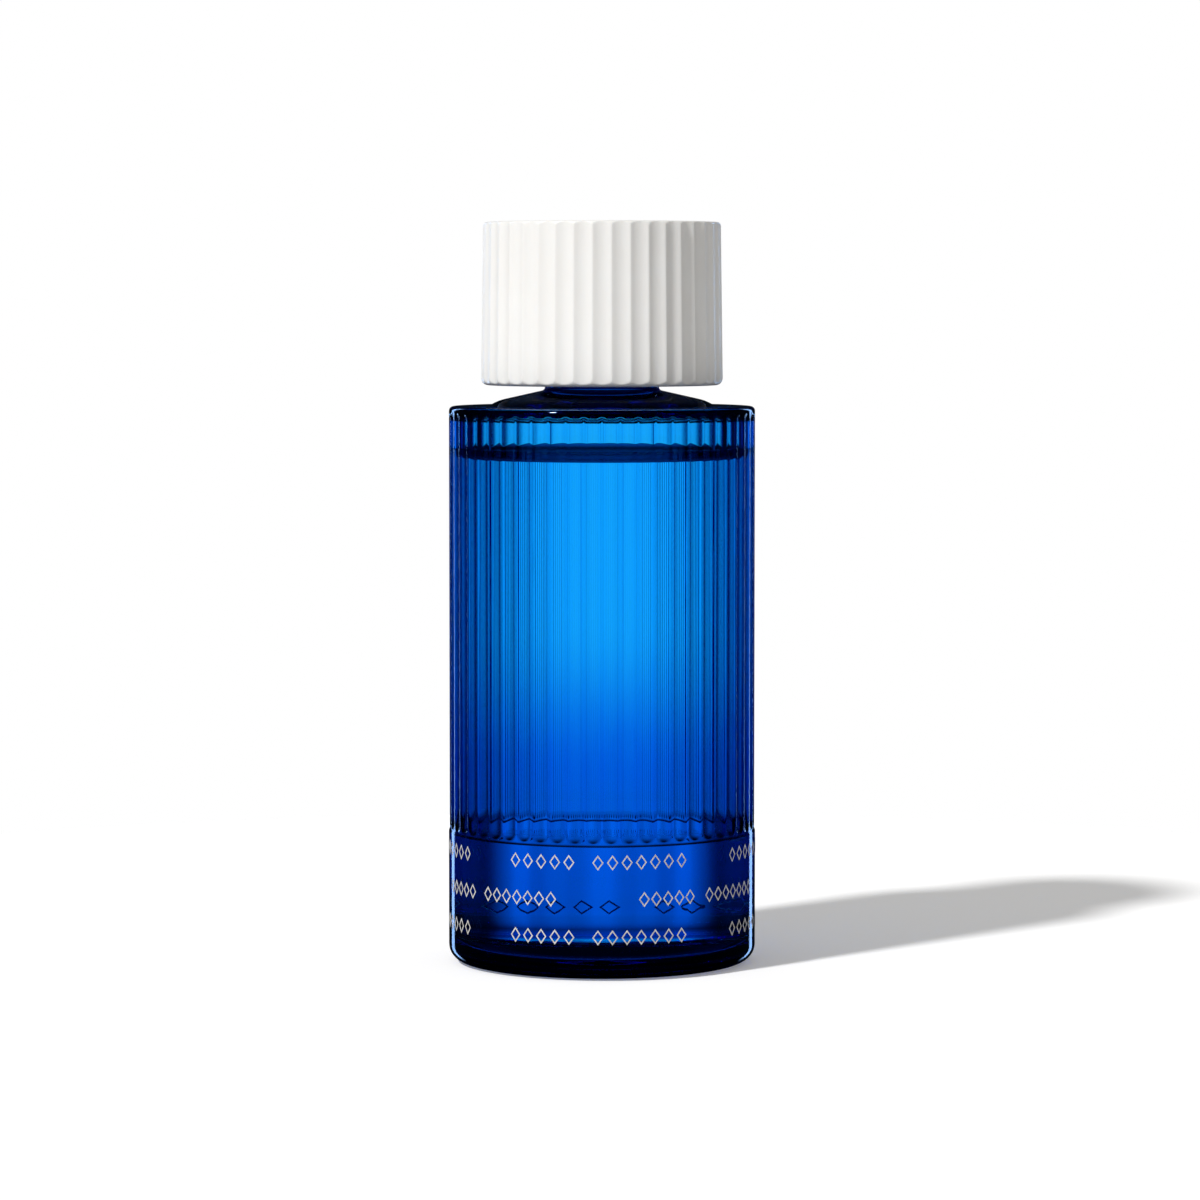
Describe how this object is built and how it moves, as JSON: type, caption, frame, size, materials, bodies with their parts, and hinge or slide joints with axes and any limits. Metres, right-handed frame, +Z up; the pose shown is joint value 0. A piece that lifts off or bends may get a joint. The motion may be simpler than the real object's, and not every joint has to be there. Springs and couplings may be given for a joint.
{
  "type": "laundry scent booster bottle",
  "caption": "Blue fluted glass bottle with a plain foot band, a low domed shoulder and a white fluted screw cap, filled with blue liquid.",
  "frame": {"origin": "centre of the base, on the surface that the bottle stands on", "axes": "+Z up along the bottle's axis, -Y towards the viewer of the picture"},
  "size_m": [0.07, 0.0698, 0.1683],
  "materials": {
    "blue_glass": "clear blue glass, polished",
    "blue_liquid": "clear blue liquid",
    "white_plastic": "white moulded plastic, satin",
    "natural_plastic": "natural white moulded plastic",
    "liner_foam": "matt foamed plastic"
  },
  "bodies": {
    "bottle": {"glass_bottle": "blue_glass", "liquid_fill": "blue_liquid"},
    "seal": {"seal_liner": "liner_foam"},
    "screw_cap": {"cap_shell": "white_plastic", "cap_insert": "natural_plastic"}
  },
  "joints": [
    {"name": "cap_lift", "type": "slide", "parent": "bottle", "child": "seal", "axis": [0, 0, 1], "range_m": [0, 0.0168]},
    {"name": "cap_turn", "type": "hinge", "parent": "seal", "child": "screw_cap", "pos_m": [0, 0, 0.1314], "axis": [0, 0, 1], "range_deg": [0, 1440]}
  ],
  "couplings": [
    {"joint": "cap_lift", "follows": "cap_turn", "m_per_rad": 0.00066845}
  ]
}
